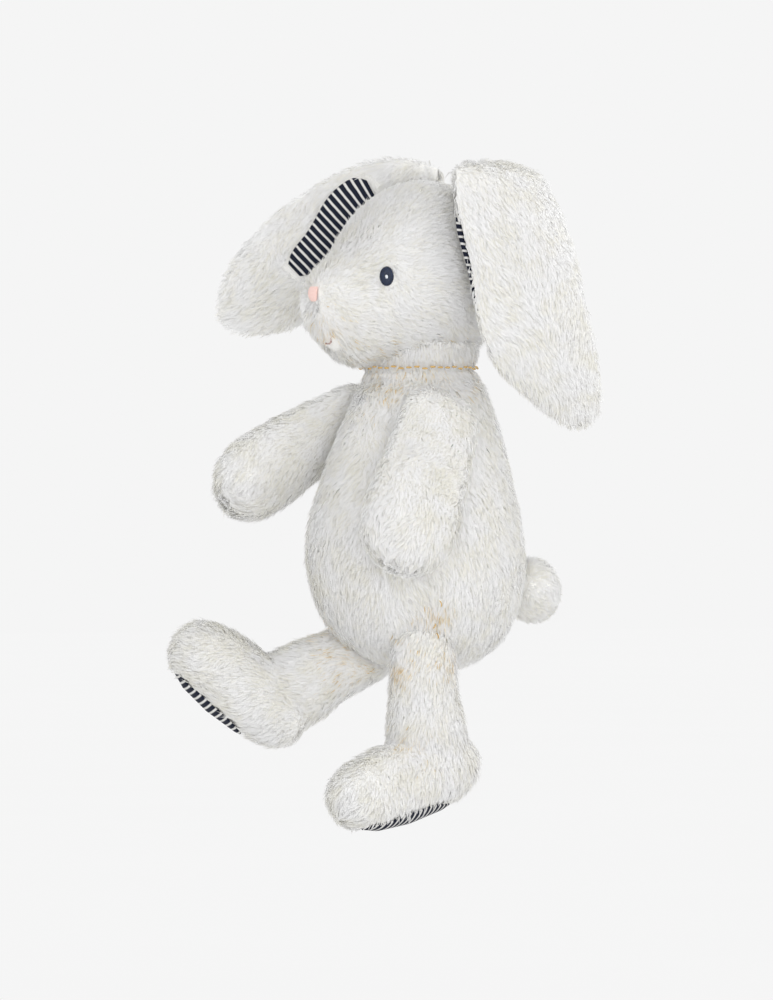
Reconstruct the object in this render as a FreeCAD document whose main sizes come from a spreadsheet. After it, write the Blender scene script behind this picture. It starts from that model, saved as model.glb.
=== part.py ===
"""Stuffed rabbit with floppy ears: a plush toy of sewn skins over loose fill.

Frame: millimetres, +Z up, the rabbit faces -Y and its left side is +X. The origin is on the
surface that the lower foot just touches, at the middle of the whole toy seen from above.
Every skin is lofted through elliptical rings whose sizes are cells of the sheet.
"""
import FreeCAD, Part
import math
import os

Vector = FreeCAD.Vector

doc = FreeCAD.newDocument("stuffed_rabbit")
sheet = doc.addObject("Spreadsheet::Sheet", "Sizes")
sheet_rows = 0
nodes = {}


# ---------------------------------------------------------------- sheet

def cell(alias, value):
    """Write one driving dimension and return its alias."""
    global sheet_rows
    sheet_rows += 1
    sheet.set("A%d" % sheet_rows, alias)
    sheet.set("B%d" % sheet_rows, str(value))
    sheet.setAlias("B%d" % sheet_rows, alias)
    return alias


def size(alias):
    """Read one driving dimension back from the sheet."""
    return float(sheet.get(alias))


SINGLE_SIZES = {
    "skin_wall": 3.0,           # knitted backing with the dense root of its pile
    "middle_x": -7.4,           # the whole toy's middle, measured from the trunk's own axis
    "middle_y": -12.9,
    "lift": -0.2,
    "neck_ball": 15.0,          # wad of fill in the neck
    "neck_play": 0.5,
    "neck_y": 2.0,
    "neck_height": 229.3,
    "thread": 0.8,
    "shoulder_x": 33.2,         # where the arm's seam touches the trunk
    "shoulder_y": -6.0,
    "shoulder_height": 207.0,
    "shoulder_drop": 10.0,      # from the arm's top edge down to its seam's middle
    "shoulder_tilt": 20.0,
    "shoulder_turn": -12.6,
    "arm_left_swing": 21.0,
    "arm_right_swing": 51.0,
    "hip_x": 27.0,
    "hip_y": -11.0,
    "hip_height": 90.0,
    "hip_room": 21.5,           # half the clear height around the hip's axis
    "hip_half_width": 19.5,     # half the clear width along it
    "thigh_room_long": 75.0,
    "leg_left_splay": 10.0,
    "leg_right_splay": 20.0,
    "leg_left_swing": 0.0,
    "leg_right_swing": 60.0,
    "leg_top_swing": 76.0,
    "foot_drop": 61.0,          # from the hip down to the foot's middle line
    "foot_pitch": 17.0,
    "sole_long": 34.0,
    "sole_wide": 16.5,
    "sole_middle": 19.0,
    "sole_depth": 10.0,
    "sole_column": 30.0,        # tall enough to pass right through the foot's skin
    "eye_x": 32.8,
    "eye_y": -35.0,
    "eye_height": 275.5,
    "eye_wide": 4.2,
    "eye_tall": 5.4,
    "eye_deep": 1.7,
    "eye_turn": 43.0,           # how far round from sideways each eye faces forward
    "glint": 1.0,
    "glint_out": 1.5,
    "glint_low": 0.4,
    "nose_y": -58.2,
    "nose_height": 267.0,
    "nose_wide": 5.5,
    "nose_deep": 2.0,
    "nose_tall": 3.8,
    "mouth_y": -51.0,
    "mouth_height": 244.5,
    "mouth_arc": 5.0,
    "mouth_lean": 52.0,
    "ear_lining": 0.6,          # half the lining's thickness
    "lining_share": 0.74,       # the lining's width as a share of the lobe's
}

# Rings of each form: where the ring lies along the form, its long and short half sizes, and
# how far its middle stands off the form's axis.
TRUNK = [(83.5, 21.0, 19.5, 7.0), (88.5, 31.5, 30.0, 5.5), (96.0, 41.5, 40.0, 3.5),
         (106.0, 48.5, 46.5, 2.0), (120.0, 53.5, 51.5, 1.0), (137.0, 55.5, 53.0, 0.0),
         (155.0, 53.5, 50.5, 0.0), (175.0, 48.5, 45.0, 1.0), (195.0, 42.5, 38.5, 2.5),
         (210.0, 37.0, 32.5, 3.5), (221.0, 31.0, 29.0, 4.0), (227.0, 21.0, 20.0, 4.0)]
HEAD = [(48.0, 11.0, 10.0, 278.0), (43.0, 24.0, 22.0, 278.0), (34.0, 35.0, 33.0, 278.0),
        (20.0, 43.0, 41.0, 278.0), (3.0, 46.5, 45.0, 278.0), (-13.0, 45.0, 42.0, 275.0),
        (-26.0, 40.0, 37.0, 270.5), (-38.0, 31.5, 30.0, 263.0), (-48.0, 23.5, 23.0, 262.0),
        (-55.0, 17.0, 16.5, 262.0), (-58.5, 9.0, 8.5, 262.0)]
ARM = [(0.0, 8.0, 2.5, 3.2), (-4.0, 13.0, 5.0, 5.7), (-14.0, 17.5, 8.5, 9.2),
       (-34.0, 19.5, 13.0, 13.7), (-55.0, 21.5, 16.0, 16.7), (-76.0, 22.5, 18.5, 19.2),
       (-90.0, 19.5, 16.5, 19.2), (-98.0, 13.0, 11.0, 19.2), (-102.0, 5.5, 5.0, 19.2)]
LEG = [(17.0, 7.0, 6.5, 0.0), (13.0, 12.5, 11.5, 0.0), (7.0, 16.0, 14.5, 0.0),
       (-5.0, 17.5, 16.0, 0.0), (-22.0, 18.5, 17.0, 0.5), (-40.0, 21.5, 19.0, 2.0),
       (-61.0, 20.0, 17.5, 3.0)]
FOOT = [(29.0, 8.5, 8.0, 0.0), (24.5, 15.0, 14.5, 0.0), (16.0, 19.0, 18.5, 0.0),
        (0.0, 21.5, 21.0, 0.0), (-20.0, 22.0, 21.0, 0.0), (-38.0, 21.0, 19.0, 0.5),
        (-50.5, 16.0, 14.5, 1.0), (-56.5, 8.5, 8.0, 1.0)]
TAIL = [(57.0, 6.5, 4.0, 119.0), (60.0, 11.5, 9.0, 119.0), (65.0, 15.0, 12.5, 119.0),
        (72.0, 15.0, 13.0, 119.0), (77.0, 11.0, 9.5, 119.0), (80.0, 5.5, 5.0, 119.0)]

# Each ear is a flat lobe that bends over and droops. A ring of the ear at the side: its
# middle, the compass angle of its long side, how steeply the ear runs there, its half sizes.
EAR_LEFT = [(27.2, 13.0, 319.0, 105.0, 40.0, 11.0, 2.5), (38.0, 16.5, 328.0, 95.0, 5.0, 18.5, 5.5),
            (50.5, 18.0, 324.0, 80.0, -45.0, 24.0, 6.0), (57.0, 18.3, 313.0, 72.0, -75.0, 26.5, 6.0),
            (61.5, 20.0, 301.0, 70.0, -85.0, 28.0, 6.0), (65.5, 24.0, 280.0, 70.0, -90.0, 28.5, 6.0),
            (67.0, 27.0, 261.0, 70.0, -90.0, 29.0, 6.0), (67.5, 31.5, 245.0, 70.0, -90.0, 29.0, 6.0),
            (67.5, 36.9, 231.0, 70.0, -90.0, 26.5, 6.0), (67.5, 45.0, 219.0, 70.0, -90.0, 20.0, 5.5),
            (67.5, 51.5, 209.0, 70.0, -90.0, 13.0, 4.5), (67.5, 54.0, 203.5, 70.0, -90.0, 6.0, 3.0)]
# A ring of the ear that droops forward: how far its middle is from the root, its height, its
# stand-off behind the lobe's plane, how steeply the ear runs there, its half sizes.
EAR_RIGHT = [(-14.0, 327.0, 0.0, 10.0, 6.0, 2.5), (-4.0, 328.0, 2.0, 2.0, 8.0, 4.5),
             (8.0, 327.0, 5.0, -8.0, 10.5, 5.5), (19.0, 322.0, 9.0, -25.0, 14.5, 6.0),
             (31.0, 312.5, 12.0, -40.0, 20.0, 6.0), (44.5, 299.5, 14.0, -44.0, 25.0, 6.0),
             (58.0, 286.5, 14.0, -44.0, 27.0, 6.0), (72.0, 273.5, 14.0, -42.0, 25.5, 6.0),
             (84.0, 264.0, 14.0, -40.0, 20.0, 5.5), (92.0, 258.5, 14.0, -38.0, 13.0, 4.0),
             (96.5, 255.5, 14.0, -38.0, 6.0, 2.5)]
EAR_RIGHT_ROOT = Vector(-25.0, 12.0, 0.0)
EAR_RIGHT_COMPASS = 230.0
LINING_GAP = 0.1                # between an ear's plush and its lining
LINED_RINGS = {"left": range(4, 10), "right": range(3, 9)}
NECK_SEAM_RING = 10             # the ring of the trunk that the neck's sewing thread follows


def write_rings(form, words, rings):
    """Write a form's rings into the sheet, one cell for each number."""
    for number, values in enumerate(rings):
        for word, value in zip(words, values):
            cell("%s_%s_%d" % (form, word, number), value)


def fill_sheet():
    """Write the single sizes and the rings of the plain forms into the sheet."""
    for alias, value in SINGLE_SIZES.items():
        cell(alias, value)
    forms = {"trunk": TRUNK, "head": HEAD, "arm": ARM, "leg": LEG, "foot": FOOT, "tail": TAIL}
    for form, rings in forms.items():
        write_rings(form, ("at", "long", "short", "off"), rings)
    write_rings("ear_left", ("side", "back", "height", "compass", "steep", "long", "short"), EAR_LEFT)
    write_rings("ear_right", ("reach", "height", "stand", "steep", "long", "short"), EAR_RIGHT)
    doc.recompute()


# ---------------------------------------------------------------- rings and lofts

# Which way a form's axis runs: the ring's own X (long), Y (short) and Z (along) directions.
UPRIGHT = (Vector(0, 1, 0), Vector(-1, 0, 0), Vector(0, 0, 1))
ALONG_Y_TALL = (Vector(0, 0, 1), Vector(1, 0, 0), Vector(0, 1, 0))
ALONG_Y_BROAD = (Vector(1, 0, 0), Vector(0, 0, -1), Vector(0, 1, 0))
# The placement component that each form's station and offset drive.
STATION_AND_OFFSET = {"trunk": ("z", "y"), "head": ("y", "z"), "arm": ("z", "x"),
                      "leg": ("z", "y"), "foot": ("y", "z"), "tail": ("y", "z")}


def turned(directions):
    """Rotation that takes a ring's own axes to the given three directions."""
    return FreeCAD.Rotation(directions[0], directions[1], directions[2], "ZXY")


def ring(name, form, number, directions, wall, shift):
    """One elliptical ring of a plain form, drawn in by the wall and moved along by shift."""
    curve = doc.addObject("Part::Ellipse", name)
    along, across = STATION_AND_OFFSET[form]
    curve.Placement = FreeCAD.Placement(Vector(), turned(directions))
    curve.setExpression("Placement.Base." + along, "Sizes.%s_at_%d + %.3f" % (form, number, shift))
    curve.setExpression("Placement.Base." + across, "Sizes.%s_off_%d" % (form, number))
    curve.setExpression("MajorRadius", "Sizes.%s_long_%d - %.3f" % (form, number, wall))
    curve.setExpression("MinorRadius", "Sizes.%s_short_%d - %.3f" % (form, number, wall))
    return curve


def form_rings(form, table, directions, inner=False):
    """All rings of a form's outside, or of the room inside its skin."""
    if not inner:
        return [ring("%s_ring_%d" % (form, n), form, n, directions, 0.0, 0.0)
                for n in range(len(table))]
    wall = size("skin_wall")
    first, last = table[0][0], table[-1][0]
    inward = math.copysign(1.6 * wall, last - first)
    rings = [ring(form + "_room_start", form, 0, directions, 1.0, inward)]
    for number in range(1, len(table) - 1):
        station = table[number][0]
        if min(abs(station - first), abs(station - last)) > 2.6 * wall:
            rings.append(ring("%s_room_%d" % (form, number), form, number, directions, wall, 0.0))
    rings.append(ring(form + "_room_end", form, len(table) - 1, directions, 1.0, -inward))
    return rings


def loft(name, rings):
    """A closed solid through the rings."""
    solid = doc.addObject("Part::Loft", name)
    solid.Sections = rings
    solid.Solid = True
    solid.Ruled = False
    return solid


def cut(name, base, tool):
    """Base with the tool's volume taken away."""
    result = doc.addObject("Part::Cut", name)
    result.Base = base
    result.Tool = tool
    return result


def common(name, base, tool):
    """The volume that base and tool share."""
    result = doc.addObject("Part::Common", name)
    result.Base = base
    result.Tool = tool
    return result


def fuse(name, shapes):
    """All the shapes joined into one."""
    result = doc.addObject("Part::MultiFuse", name)
    result.Shapes = shapes
    return result


def to_frame(local=None):
    """Placement that takes a form, modelled about the trunk's axis, into the toy's frame."""
    shift = FreeCAD.Placement(Vector(-size("middle_x"), -size("middle_y"), size("lift")),
                              FreeCAD.Rotation())
    return shift.multiply(local) if local else shift


def keep(label, item, local=None):
    """Name a finished sub-part and put it in its place."""
    item.Label = label
    item.Placement = to_frame(local)
    nodes[label] = item


# ---------------------------------------------------------------- trunk, neck, head, tail

def hip_clearance(side):
    """Room in the trunk's base for one leg's sewn top and for the thigh at its forward limit."""
    word = "left" if side > 0 else "right"
    half_width = size("hip_half_width")
    hip = Vector(side * size("hip_x"), size("hip_y"), size("hip_height"))
    room = size("hip_room")
    drum = doc.addObject("Part::Cylinder", "hip_drum_" + word)
    drum.Radius = room
    drum.Height = 2 * half_width
    splay = FreeCAD.Rotation(Vector(0, 0, 1), side * size("leg_%s_splay" % word))
    drum.Placement = FreeCAD.Placement(hip - splay.multVec(Vector(half_width, 0, 0)),
                                       splay.multiply(FreeCAD.Rotation(Vector(0, 1, 0), 90)))
    thigh = doc.addObject("Part::Box", "thigh_room_" + word)
    thigh.Length = 2 * half_width
    thigh.Width = 2 * room
    thigh.Height = size("thigh_room_long")
    swing = splay.multiply(FreeCAD.Rotation(Vector(1, 0, 0), 180.0 - size("leg_top_swing")))
    thigh.Placement = FreeCAD.Placement(hip + swing.multVec(Vector(-half_width, -room, 0)), swing)
    return [drum, thigh]


def neck_socket(name):
    """The round room that the neck's wad of fill takes up in the trunk and in the head."""
    ball = doc.addObject("Part::Sphere", name)
    ball.setExpression("Radius", "Sizes.neck_ball + Sizes.neck_play")
    ball.setExpression("Placement.Base.y", "Sizes.neck_y")
    ball.setExpression("Placement.Base.z", "Sizes.neck_height")
    return ball


def make_trunk():
    """Pear-shaped skin and its fill, with room for the neck's wad and the legs' tops."""
    outer = form_rings("trunk", TRUNK, UPRIGHT)
    inner = form_rings("trunk", TRUNK, UPRIGHT, inner=True)
    rooms = fuse("trunk_rooms", [neck_socket("trunk_socket")] + hip_clearance(1) + hip_clearance(-1))
    skin = cut("trunk_skin", loft("trunk_outside", outer), loft("trunk_inside", inner))
    keep("trunk_plush", cut("trunk_plush", skin, rooms))
    keep("trunk_stuffing", cut("trunk_stuffing", loft("trunk_fill", inner), rooms))


def make_neck():
    """The wad of fill between trunk and head, and the thread that sews the neck."""
    ball = doc.addObject("Part::Sphere", "neck_stuffing")
    ball.setExpression("Radius", "Sizes.neck_ball")
    keep("neck_stuffing", ball, FreeCAD.Placement(
        Vector(0, size("neck_y"), size("neck_height")), FreeCAD.Rotation()))
    seam = doc.getObject("trunk_ring_%d" % NECK_SEAM_RING)
    seam_height, seam_long, _, seam_off = TRUNK[NECK_SEAM_RING]
    strand = doc.addObject("Part::Circle", "neck_strand")
    strand.setExpression("Radius", "Sizes.thread")
    strand.Placement = FreeCAD.Placement(Vector(0, seam_off + seam_long, seam_height),
                                         FreeCAD.Rotation(Vector(0, 1, 0), 90))
    loop = doc.addObject("Part::Sweep", "neck_loop")
    loop.Sections = [strand]
    loop.Spine = (seam, ["Edge1"])
    loop.Solid = True
    trunk = loft("trunk_under_thread", [doc.getObject("trunk_ring_%d" % n) for n in range(len(TRUNK))])
    keep("neck_thread", cut("neck_thread", loop, trunk))


def make_head():
    """Head skin with its blunt muzzle, and its fill."""
    outer = form_rings("head", HEAD, ALONG_Y_TALL)
    inner = form_rings("head", HEAD, ALONG_Y_TALL, inner=True)
    skin = cut("head_skin", loft("head_outside", outer), loft("head_inside", inner))
    socket = neck_socket("head_socket")
    keep("head_plush", cut("head_plush", skin, socket))
    keep("head_stuffing", cut("head_stuffing", loft("head_fill", inner), neck_socket("fill_socket")))


def head_form(name):
    """A fresh copy of the head's outside, for trimming what is sewn onto it."""
    return loft(name, [doc.getObject("head_ring_%d" % n) for n in range(len(HEAD))])


def flat_egg(name, place, turn, half_sizes):
    """An egg with the given half sizes along its own X, Y and Z."""
    egg = doc.addObject("Part::Ellipsoid", name)
    egg.Radius2, egg.Radius3, egg.Radius1 = half_sizes
    egg.Placement = FreeCAD.Placement(place, turn)
    return egg


def glint_ball(name, place, turn):
    """The small ball that a light stitch takes up."""
    ball = doc.addObject("Part::Sphere", name)
    ball.setExpression("Radius", "Sizes.glint")
    ball.Placement = FreeCAD.Placement(place, turn)
    return ball


def make_face():
    """Stitched eyes with a light stitch in each, the nose and the mouth."""
    turn = size("eye_turn")
    for side, word, facing in ((1, "left", 180.0 - turn), (-1, "right", turn)):
        place = Vector(side * size("eye_x"), size("eye_y"), size("eye_height"))
        inward = FreeCAD.Rotation(Vector(0, 0, 1), facing)
        half = (size("eye_deep"), size("eye_wide"), size("eye_tall"))
        glint_place = place + inward.multVec(Vector(-size("glint_out"), 0, -size("glint_low")))
        eye = "eye_" + word
        egg = cut(eye + "_open", flat_egg(eye + "_egg", place, inward, half),
                  glint_ball(eye + "_glint_room", glint_place, inward))
        keep(eye, cut(eye, egg, head_form(eye + "_under")))
        keep(eye + "_glint", glint_ball(eye + "_glint", glint_place, inward),
             FreeCAD.Placement(glint_place, inward))
    nose_half = (size("nose_wide"), size("nose_deep"), size("nose_tall"))
    nose = flat_egg("nose_egg", Vector(0, size("nose_y"), size("nose_height")),
                    FreeCAD.Rotation(), nose_half)
    keep("nose", cut("nose", nose, head_form("nose_under")))
    arc = doc.addObject("Part::Torus", "mouth_arc")
    arc.setExpression("Radius1", "Sizes.mouth_arc")
    arc.setExpression("Radius2", "Sizes.thread")
    arc.Placement = FreeCAD.Placement(Vector(0, size("mouth_y"), size("mouth_height")),
                                      FreeCAD.Rotation(Vector(1, 0, 0), size("mouth_lean")))
    keep("mouth", cut("mouth", arc, head_form("mouth_under")))


def make_tail():
    """Short round tail."""
    outer = form_rings("tail", TAIL, ALONG_Y_TALL)
    inner = form_rings("tail", TAIL, ALONG_Y_TALL, inner=True)
    keep("tail_plush", cut("tail_plush", loft("tail_outside", outer), loft("tail_inside", inner)))
    keep("tail_stuffing", loft("tail_stuffing", inner))


# ---------------------------------------------------------------- arms and legs

def shoulder_axis(side):
    """Outward direction of a shoulder's seam: the line that the arm swings about."""
    tilt = math.radians(size("shoulder_tilt"))
    turn = math.radians(size("shoulder_turn"))
    return Vector(side * math.cos(tilt) * math.cos(turn), math.cos(tilt) * math.sin(turn),
                  math.sin(tilt))


def arm_placement(side, swing):
    """Where an arm lies: its flat side against the trunk, swung forward from hanging."""
    outward = shoulder_axis(side)
    down = Vector(0, 0, -1) - outward * outward.dot(Vector(0, 0, -1))
    down.normalize()
    turned_down = FreeCAD.Rotation(outward, -side * swing).multVec(down)
    upward = turned_down * -1.0
    sideways = upward.cross(outward)
    rotation = FreeCAD.Rotation(outward, sideways, upward, "ZXY")
    seam = Vector(side * size("shoulder_x"), size("shoulder_y"), size("shoulder_height"))
    return FreeCAD.Placement(seam + upward * size("shoulder_drop"), rotation)


def make_arms():
    """Both arms: the skin, flat where it is sewn on, and its fill."""
    outer = form_rings("arm", ARM, UPRIGHT)
    inner = form_rings("arm", ARM, UPRIGHT, inner=True)
    for side, word in ((1, "left"), (-1, "right")):
        place = arm_placement(side, size("arm_%s_swing" % word))
        skin = cut("arm_%s_plush" % word, loft("arm_%s_outside" % word, outer),
                   loft("arm_%s_inside" % word, inner))
        keep("arm_%s_plush" % word, skin, place)
        keep("arm_%s_stuffing" % word, loft("arm_%s_fill" % word, inner), place)


def foot_form(name, rings):
    """A foot's loft, pitched toe down and hung under the leg."""
    foot = loft(name, rings)
    pitch = FreeCAD.Rotation(Vector(1, 0, 0), size("foot_pitch"))
    foot.Placement = FreeCAD.Placement(Vector(0, 0, -size("foot_drop")), pitch)
    return foot


def sole_zone(name):
    """The oval column under the foot that marks out its striped sole."""
    oval = doc.addObject("Part::Ellipse", name + "_oval")
    oval.setExpression("MajorRadius", "Sizes.sole_long")
    oval.setExpression("MinorRadius", "Sizes.sole_wide")
    column = doc.addObject("Part::Extrusion", name)
    column.Base = oval
    column.Dir = Vector(0, 0, -1)
    column.LengthFwd = size("sole_column")
    column.Solid = True
    pitch = FreeCAD.Rotation(Vector(1, 0, 0), size("foot_pitch"))
    long_way = FreeCAD.Rotation(Vector(0, 0, 1), 90)
    start = pitch.multVec(Vector(0, -size("sole_middle"), -size("sole_depth")))
    column.Placement = FreeCAD.Placement(start + Vector(0, 0, -size("foot_drop")),
                                         pitch.multiply(long_way))
    return column


def make_legs():
    """Both legs: skin with its foot, striped sole and fill."""
    leg_outer = form_rings("leg", LEG, UPRIGHT)
    leg_inner = form_rings("leg", LEG, UPRIGHT, inner=True)
    foot_outer = form_rings("foot", FOOT, ALONG_Y_BROAD)
    foot_inner = form_rings("foot", FOOT, ALONG_Y_BROAD, inner=True)
    for side, word in ((1, "left"), (-1, "right")):
        leg = "leg_" + word
        hip = Vector(side * size("hip_x"), size("hip_y"), size("hip_height"))
        splay = FreeCAD.Rotation(Vector(0, 0, 1), side * size("leg_%s_splay" % word))
        swing = FreeCAD.Rotation(Vector(1, 0, 0), -size("leg_%s_swing" % word))
        place = FreeCAD.Placement(hip, splay.multiply(swing))
        outside = fuse(leg + "_outside", [loft(leg + "_shank", leg_outer),
                                          foot_form(leg + "_foot", foot_outer)])
        inside = fuse(leg + "_inside", [loft(leg + "_shank_room", leg_inner),
                                        foot_form(leg + "_foot_room", foot_inner)])
        skin = cut(leg + "_skin", outside, inside)
        keep(leg + "_plush", cut(leg + "_plush", skin, sole_zone(leg + "_sole_cut")), place)
        keep(leg + "_sole", common(leg + "_sole", skin, sole_zone(leg + "_sole_zone")), place)
        fill = fuse(leg + "_fill", [loft(leg + "_shank_fill", leg_inner),
                                    foot_form(leg + "_foot_fill", foot_inner)])
        keep(leg + "_stuffing", fill, place)


# ---------------------------------------------------------------- ears

def ear_ring(name, middle, long_way, run, half_long, half_short, off):
    """One ring of an ear, its half sizes given as expressions, moved off the lobe by off."""
    face = run.cross(long_way)
    face.normalize()
    curve = doc.addObject("Part::Ellipse", name)
    curve.setExpression("MajorRadius", half_long)
    curve.setExpression("MinorRadius", half_short)
    curve.Placement = FreeCAD.Placement(middle + face * off, turned((long_way, face, run)))
    return curve


def ear_left_frames():
    """Middle, long side and run of each ring of the ear that droops at the side."""
    frames = []
    for x, y, height, compass, steep, _, half_short in EAR_LEFT:
        angle = math.radians(compass)
        long_way = Vector(math.cos(angle), math.sin(angle), 0)
        level = Vector(math.sin(angle), -math.cos(angle), 0)
        slope = math.radians(steep)
        run = level * math.cos(slope) + Vector(0, 0, math.sin(slope))
        frames.append((Vector(x, y, height), long_way, run, half_short))
    return frames


def ear_right_frames():
    """The same for the ear that droops forward in its own upright plane."""
    angle = math.radians(EAR_RIGHT_COMPASS)
    level = Vector(math.cos(angle), math.sin(angle), 0)
    behind = Vector(math.sin(angle), -math.cos(angle), 0)
    frames = []
    for reach, height, stand_off, steep, _, half_short in EAR_RIGHT:
        slope = math.radians(steep)
        run = level * math.cos(slope) + Vector(0, 0, math.sin(slope))
        middle = EAR_RIGHT_ROOT + level * reach + behind * stand_off + Vector(0, 0, height)
        long_way = run.cross(behind)
        frames.append((middle, long_way, run, half_short))
    return frames


def make_ears():
    """Both ears: a flat plush lobe with a striped lining on its inner side."""
    lining = size("ear_lining")
    lined_sides = {"left": -1, "right": 1}
    for word, frames in (("left", ear_left_frames()), ("right", ear_right_frames())):
        lobe = []
        inside = []
        for number, (middle, long_way, run, half_short) in enumerate(frames):
            name = "ear_%s_ring_%d" % (word, number)
            long_cell = "Sizes.ear_%s_long_%d" % (word, number)
            short_cell = "Sizes.ear_%s_short_%d" % (word, number)
            lobe.append(ear_ring(name, middle, long_way, run, long_cell, short_cell, 0.0))
            if number in LINED_RINGS[word]:
                off = lined_sides[word] * (half_short + lining + LINING_GAP)
                inside.append(ear_ring(name + "_lining", middle, long_way, run,
                                       long_cell + " * Sizes.lining_share", "Sizes.ear_lining", off))
        keep("ear_%s_plush" % word, loft("ear_%s_plush" % word, lobe))
        keep("ear_%s_lining" % word, loft("ear_%s_lining" % word, inside))


# ---------------------------------------------------------------- check and write

def check_and_write():
    """Stop on any failed object, then write each sub-part's solids."""
    doc.recompute()
    for item in doc.Objects:
        if "Invalid" in item.State or "Error" in item.State:
            raise RuntimeError("%s failed: %s" % (item.Label, item.State))
    whole = FreeCAD.BoundBox()
    for label, item in nodes.items():
        shape = item.Shape
        if shape.isNull() or not shape.isValid() or not shape.Solids:
            raise RuntimeError("%s has no valid solid" % label)
        whole.add(shape.BoundBox)
    os.makedirs("parts", exist_ok=True)
    for label, item in nodes.items():
        item.Shape.exportStep("parts/%s.step" % label)
        print("%-20s %d solid(s) %9.1f mm3" % (label, len(item.Shape.Solids), item.Shape.Volume))
    print("box X %.2f..%.2f Y %.2f..%.2f Z %.2f..%.2f" % (
        whole.XMin, whole.XMax, whole.YMin, whole.YMax, whole.ZMin, whole.ZMax))


fill_sheet()
make_trunk()
make_neck()
make_head()
make_face()
make_ears()
make_arms()
make_legs()
make_tail()
check_and_write()
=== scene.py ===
"""Stuffed rabbit: plush skins with a combed pile, striped cotton linings and sewn face.

Sizes are in millimetres about the trunk's own axis until a mesh is written, which is in metres
in the toy's frame: +Z up, the rabbit faces -Y and its left side is +X.
"""
import logging
import math
from dataclasses import dataclass
from enum import Enum
from typing import Sequence

import bpy
import numpy as np
from mathutils import Matrix, Vector, kdtree


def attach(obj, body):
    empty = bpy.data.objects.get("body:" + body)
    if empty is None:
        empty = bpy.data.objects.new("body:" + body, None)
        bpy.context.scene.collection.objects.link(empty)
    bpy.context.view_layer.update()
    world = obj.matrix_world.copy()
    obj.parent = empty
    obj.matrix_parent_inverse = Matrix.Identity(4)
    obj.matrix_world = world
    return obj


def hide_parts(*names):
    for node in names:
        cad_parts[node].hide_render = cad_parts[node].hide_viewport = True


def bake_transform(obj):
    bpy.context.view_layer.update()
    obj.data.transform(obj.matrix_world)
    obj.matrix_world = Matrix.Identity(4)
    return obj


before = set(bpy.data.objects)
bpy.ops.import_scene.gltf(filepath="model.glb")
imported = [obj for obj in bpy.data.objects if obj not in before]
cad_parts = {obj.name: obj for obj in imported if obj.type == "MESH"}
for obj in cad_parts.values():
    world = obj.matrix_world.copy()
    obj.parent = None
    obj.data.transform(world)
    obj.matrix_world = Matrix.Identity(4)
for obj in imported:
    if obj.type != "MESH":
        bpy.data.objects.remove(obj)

MM = 0.001
SHIFT = np.array([7.4, 12.9, -0.2])
log = logging.getLogger("rabbit")


def linear(code: str) -> tuple[float, float, float, float]:
    """Turn a screen colour such as F2F1EC into linear light."""
    parts = [int(code[i:i + 2], 16) / 255.0 for i in (0, 2, 4)]
    light = [c / 12.92 if c <= 0.04045 else ((c + 0.055) / 1.055) ** 2.4 for c in parts]
    return (light[0], light[1], light[2], 1.0)


def unit(vectors: np.ndarray) -> np.ndarray:
    """Scale every vector to length one."""
    return vectors / np.maximum(np.linalg.norm(vectors, axis=-1, keepdims=True), 1e-9)


def turn_x(degrees: float) -> np.ndarray:
    """Rotation about X."""
    return np.array(Matrix.Rotation(math.radians(degrees), 3, "X"))


def turn_z(degrees: float) -> np.ndarray:
    """Rotation about Z."""
    return np.array(Matrix.Rotation(math.radians(degrees), 3, "Z"))


# ---------------------------------------------------------------- shader maths

class Value:
    """A number that a material's nodes work out, with the usual arithmetic."""

    def __init__(self, shader: "Shader", socket: bpy.types.NodeSocket) -> None:
        """Hold one output of a node."""
        self.shader = shader
        self.socket = socket

    def _math(self, operation: str, *others: "Value | float") -> "Value":
        """Add a Math node."""
        node = self.shader.add("ShaderNodeMath", {"operation": operation},
                               {i: v for i, v in enumerate(others)})
        return Value(self.shader, node.outputs[0])

    def __add__(self, other: "Value | float") -> "Value":
        """Sum."""
        return self._math("ADD", self, other)

    __radd__ = __add__

    def __sub__(self, other: "Value | float") -> "Value":
        """Difference."""
        return self._math("SUBTRACT", self, other)

    def __rsub__(self, other: "Value | float") -> "Value":
        """Difference from a number."""
        return self._math("SUBTRACT", other, self)

    def __mul__(self, other: "Value | float") -> "Value":
        """Product."""
        return self._math("MULTIPLY", self, other)

    __rmul__ = __mul__

    def __truediv__(self, other: "Value | float") -> "Value":
        """Quotient."""
        return self._math("DIVIDE", self, other)

    def __rtruediv__(self, other: "Value | float") -> "Value":
        """A number over this value."""
        return self._math("DIVIDE", other, self)

    def fraction(self) -> "Value":
        """Part after the decimal point."""
        return self._math("FRACT", self)

    def sine(self) -> "Value":
        """Sine of the value in radians."""
        return self._math("SINE", self)

    def step(self, start: float, width: float) -> "Value":
        """Rise from 0 to 1 between start and start + width."""
        node = self.shader.add("ShaderNodeMapRange", {"interpolation_type": "SMOOTHSTEP"},
                               {0: self, 1: start, 2: start + width})
        return Value(self.shader, node.outputs[0])


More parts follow.
